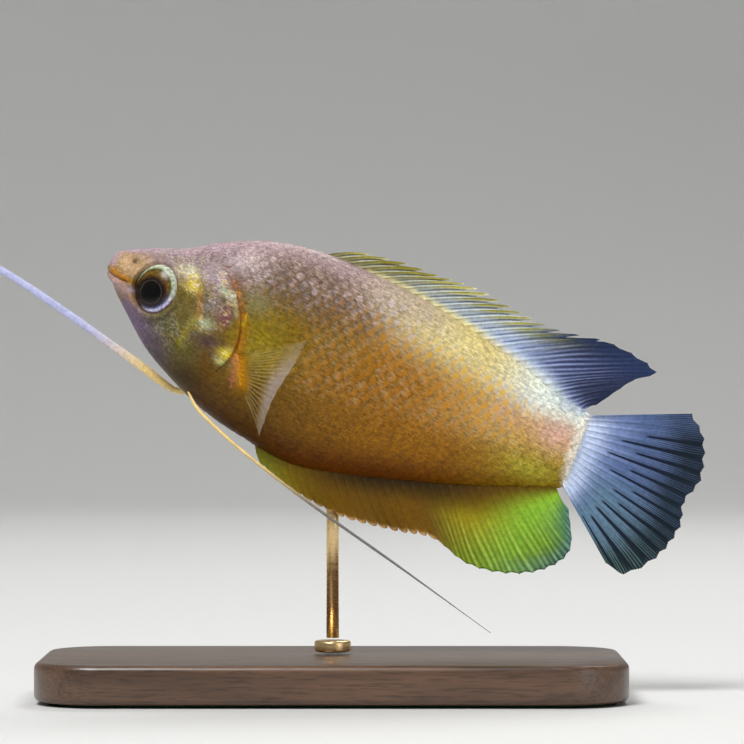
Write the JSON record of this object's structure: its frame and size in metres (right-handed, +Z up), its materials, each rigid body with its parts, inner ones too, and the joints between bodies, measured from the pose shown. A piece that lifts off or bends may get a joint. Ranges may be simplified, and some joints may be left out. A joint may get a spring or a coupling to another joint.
{
  "type": "dwarf gourami",
  "caption": "Still, life-size aquarium gourami swimming nose up, with fanned fins and long thread-like pelvic fins, held by a slim rod on a flat base.",
  "frame": {"origin": "centre of the underside of the stand's base", "axes": "+Z up, -X towards the fish's nose, -Y out from the fish's left flank"},
  "size_m": [0.0967, 0.036, 0.0567],
  "materials": {
    "head_skin": "wet, finely scaled skin, mauve above, olive on the cheek",
    "flank_skin": "wet overlapping scales, golden orange-brown with lilac glints",
    "eye": "glassy and clear over a dark iris and black pupil",
    "clear_fin": "thin ribbed membrane, pale blue-grey",
    "gold_fin": "thin ribbed membrane, olive to bright yellow-green",
    "filament": "soft thread, cream-yellow to lilac",
    "stand_wood": "dark, satin-varnished hardwood",
    "stand_metal": "fine brushed brass"
  },
  "bodies": {
    "root": {"head": "head_skin", "trunk": "flank_skin", "tail": "flank_skin", "eye_left": "eye", "eye_right": "eye", "dorsal_fin": "clear_fin", "anal_fin": "gold_fin", "caudal_fin": "clear_fin", "pectoral_fin_left": "clear_fin", "pectoral_fin_right": "clear_fin", "pelvic_fin_left": "filament", "pelvic_fin_right": "filament", "stand_base": "stand_wood", "stand_collar": "stand_metal", "stand_rod": "stand_metal"}
  },
  "joints": []
}
